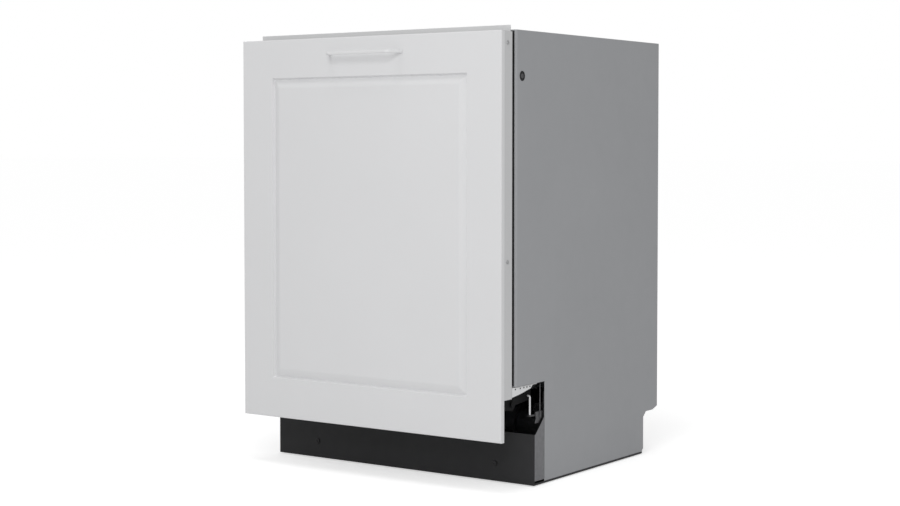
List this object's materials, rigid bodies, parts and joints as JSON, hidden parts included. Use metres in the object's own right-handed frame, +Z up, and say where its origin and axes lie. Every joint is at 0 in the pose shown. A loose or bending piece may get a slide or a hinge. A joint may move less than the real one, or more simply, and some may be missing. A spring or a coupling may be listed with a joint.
{
  "type": "built in dishwasher",
  "caption": "Fully integrated under-worktop dishwasher with a framed drop-down door panel, small bar handle, open tub with sliding racks and recessed toe kick.",
  "frame": {"origin": "middle of the footprint on the floor, below the bounding box's centre", "axes": "+Z up, the door faces -Y, +X to the right seen from the front"},
  "size_m": [0.598, 0.596, 0.8236],
  "materials": {
    "panel_white": "white lacquered MDF",
    "handle_white": "white powder coat",
    "door_steel": "light grey coated steel",
    "liner_steel": "fine brushed",
    "side_steel": "grey coated steel",
    "rail_steel": "light grey coated steel",
    "tub_steel": "fine brushed",
    "kick_black": "black satin",
    "base_black": "moulded",
    "screw_steel": "dark zinc plated",
    "bush_black": "moulded",
    "plated_steel": "galvanised",
    "hinge_black": "black passivated",
    "hinge_steel": "dark zinc plated",
    "control_black": "satin",
    "board_green": "solder mask",
    "display_black": "polished",
    "button_silver": "satin silver",
    "dispenser_grey": "moulded",
    "cap_blue": "moulded",
    "seal_black": "extruded",
    "felt_grey": "bonded felt mat",
    "pump_grey": "moulded",
    "white_plastic": "moulded",
    "filter_grey": "moulded",
    "arm_grey": "moulded",
    "rack_coat": "nylon coated wire",
    "wheel_grey": "moulded"
  },
  "bodies": {
    "cabinet": {"left_side_panel": "side_steel", "right_side_panel": "side_steel", "top_front_rail": "rail_steel", "rear_cross_rail": "plated_steel", "rear_panel": "plated_steel", "side_trims": "bush_black", "cabinet_screws": "hinge_steel", "toe_kick": "kick_black", "base_tray": "base_black", "hinge_brackets": "rail_steel", "hinge_pins": "hinge_black", "hinge_springs": "hinge_steel", "tub_wrap": "tub_steel", "tub_back_wall": "tub_steel", "tub_floor": "tub_steel", "tub_front_frame": "tub_steel", "tub_gasket": "seal_black", "latch_strike": "screw_steel", "tub_insulation": "felt_grey", "sump": "pump_grey", "circulation_pump": "pump_grey", "drain_pump": "pump_grey", "inlet_valve": "white_plastic", "air_break": "white_plastic", "spray_feed_tube": "filter_grey", "rack_rails": "tub_steel"},
    "door": {"custom_panel": "panel_white", "panel_handle": "handle_white", "outer_door_shell": "door_steel", "door_screws": "plated_steel", "inner_door_liner": "liner_steel", "door_insulation": "felt_grey", "control_panel": "control_black", "control_board": "board_green", "display_window": "display_black", "door_latch": "base_black", "dispenser_body": "dispenser_grey", "lower_door_seal": "seal_black", "hinge_arms": "hinge_black"},
    "feet": {"levelling_feet": "bush_black"},
    "lid": {"dispenser_lid": "white_plastic"},
    "cap": {"rinse_aid_cap": "cap_blue"},
    "filter": {"filter_cup": "filter_grey"},
    "impeller": {"pump_impeller": "white_plastic"},
    "float": {"float_switch": "white_plastic"},
    "lower_arm": {"lower_spray_arm": "arm_grey"},
    "upper_arm": {"upper_spray_arm": "arm_grey"},
    "bottom_rack": {"lower_rack": "rack_coat", "lower_rack_walls": "rack_coat", "cutlery_basket": "wheel_grey"},
    "wheels_front": {"front_wheels": "wheel_grey"},
    "wheels_rear": {"rear_wheels": "wheel_grey"},
    "top_rack": {"upper_rack": "rack_coat", "upper_rack_walls": "rack_coat"},
    "tray": {"cutlery_tray": "rack_coat", "cutlery_tray_walls": "rack_coat"},
    "power_key": {"power_button": "button_silver"},
    "program_key": {"program_button": "button_silver"},
    "option_key": {"option_button": "button_silver"},
    "start_key": {"start_button": "button_silver"}
  },
  "joints": [
    {"name": "door_hinge", "type": "hinge", "parent": "cabinet", "child": "door", "pos_m": [0, -0.22, 0.155], "axis": [1, 0, 0], "range_deg": [0, 90], "stiffness_Nm_per_rad": 18},
    {"name": "lower_rack_slide", "type": "slide", "parent": "cabinet", "child": "bottom_rack", "axis": [0, -1, 0], "range_m": [0, 0.146]},
    {"name": "upper_rack_slide", "type": "slide", "parent": "cabinet", "child": "top_rack", "axis": [0, -1, 0], "range_m": [0, 0.394]},
    {"name": "cutlery_tray_slide", "type": "slide", "parent": "cabinet", "child": "tray", "axis": [0, -1, 0], "range_m": [0, 0.394]},
    {"name": "front_wheels_roll", "type": "hinge", "parent": "bottom_rack", "child": "wheels_front", "pos_m": [0, -0.09, 0.1883], "axis": [1, 0, 0], "continuous": true},
    {"name": "rear_wheels_roll", "type": "hinge", "parent": "bottom_rack", "child": "wheels_rear", "pos_m": [0, 0.19, 0.1883], "axis": [1, 0, 0], "continuous": true},
    {"name": "lower_arm_spin", "type": "hinge", "parent": "cabinet", "child": "lower_arm", "pos_m": [0, 0.025, 0.183], "axis": [0, 0, 1], "continuous": true},
    {"name": "upper_arm_spin", "type": "hinge", "parent": "top_rack", "child": "upper_arm", "pos_m": [0, 0.035, 0.448], "axis": [0, 0, 1], "continuous": true},
    {"name": "dispenser_lid_slide", "type": "slide", "parent": "door", "child": "lid", "axis": [-1, 0, 0], "range_m": [0, 0.092]},
    {"name": "rinse_aid_cap_twist", "type": "hinge", "parent": "door", "child": "cap", "pos_m": [0.122, -0.21, 0.5], "axis": [0, 1, 0], "range_deg": [0, 90]},
    {"name": "filter_twist", "type": "hinge", "parent": "cabinet", "child": "filter", "pos_m": [0, -0.085, 0.172], "axis": [0, 0, 1], "range_deg": [0, 90]},
    {"name": "impeller_spin", "type": "hinge", "parent": "cabinet", "child": "impeller", "pos_m": [0.11, 0.06, 0.07], "axis": [1, 0, 0], "continuous": true},
    {"name": "float_lift", "type": "slide", "parent": "cabinet", "child": "float", "axis": [0, 0, 1], "range_m": [0, 0.01]},
    {"name": "feet_screw_out", "type": "slide", "parent": "cabinet", "child": "feet", "axis": [0, 0, -1], "range_m": [0, 0.03]},
    {"name": "power_button_press", "type": "slide", "parent": "door", "child": "power_key", "axis": [0, 0, -1], "range_m": [0, 0.0012], "stiffness_N_per_m": 900},
    {"name": "program_button_press", "type": "slide", "parent": "door", "child": "program_key", "axis": [0, 0, -1], "range_m": [0, 0.0012], "stiffness_N_per_m": 900},
    {"name": "option_button_press", "type": "slide", "parent": "door", "child": "option_key", "axis": [0, 0, -1], "range_m": [0, 0.0012], "stiffness_N_per_m": 900},
    {"name": "start_button_press", "type": "slide", "parent": "door", "child": "start_key", "axis": [0, 0, -1], "range_m": [0, 0.0012], "stiffness_N_per_m": 900}
  ],
  "couplings": [
    {"joint": "lower_rack_slide", "follows": "door_hinge", "m_per_rad": 0.0925},
    {"joint": "upper_rack_slide", "follows": "door_hinge", "m_per_rad": 0.25},
    {"joint": "cutlery_tray_slide", "follows": "door_hinge", "m_per_rad": 0.25},
    {"joint": "front_wheels_roll", "follows": "door_hinge", "ratio": 5.7812},
    {"joint": "rear_wheels_roll", "follows": "door_hinge", "ratio": 5.7812}
  ]
}
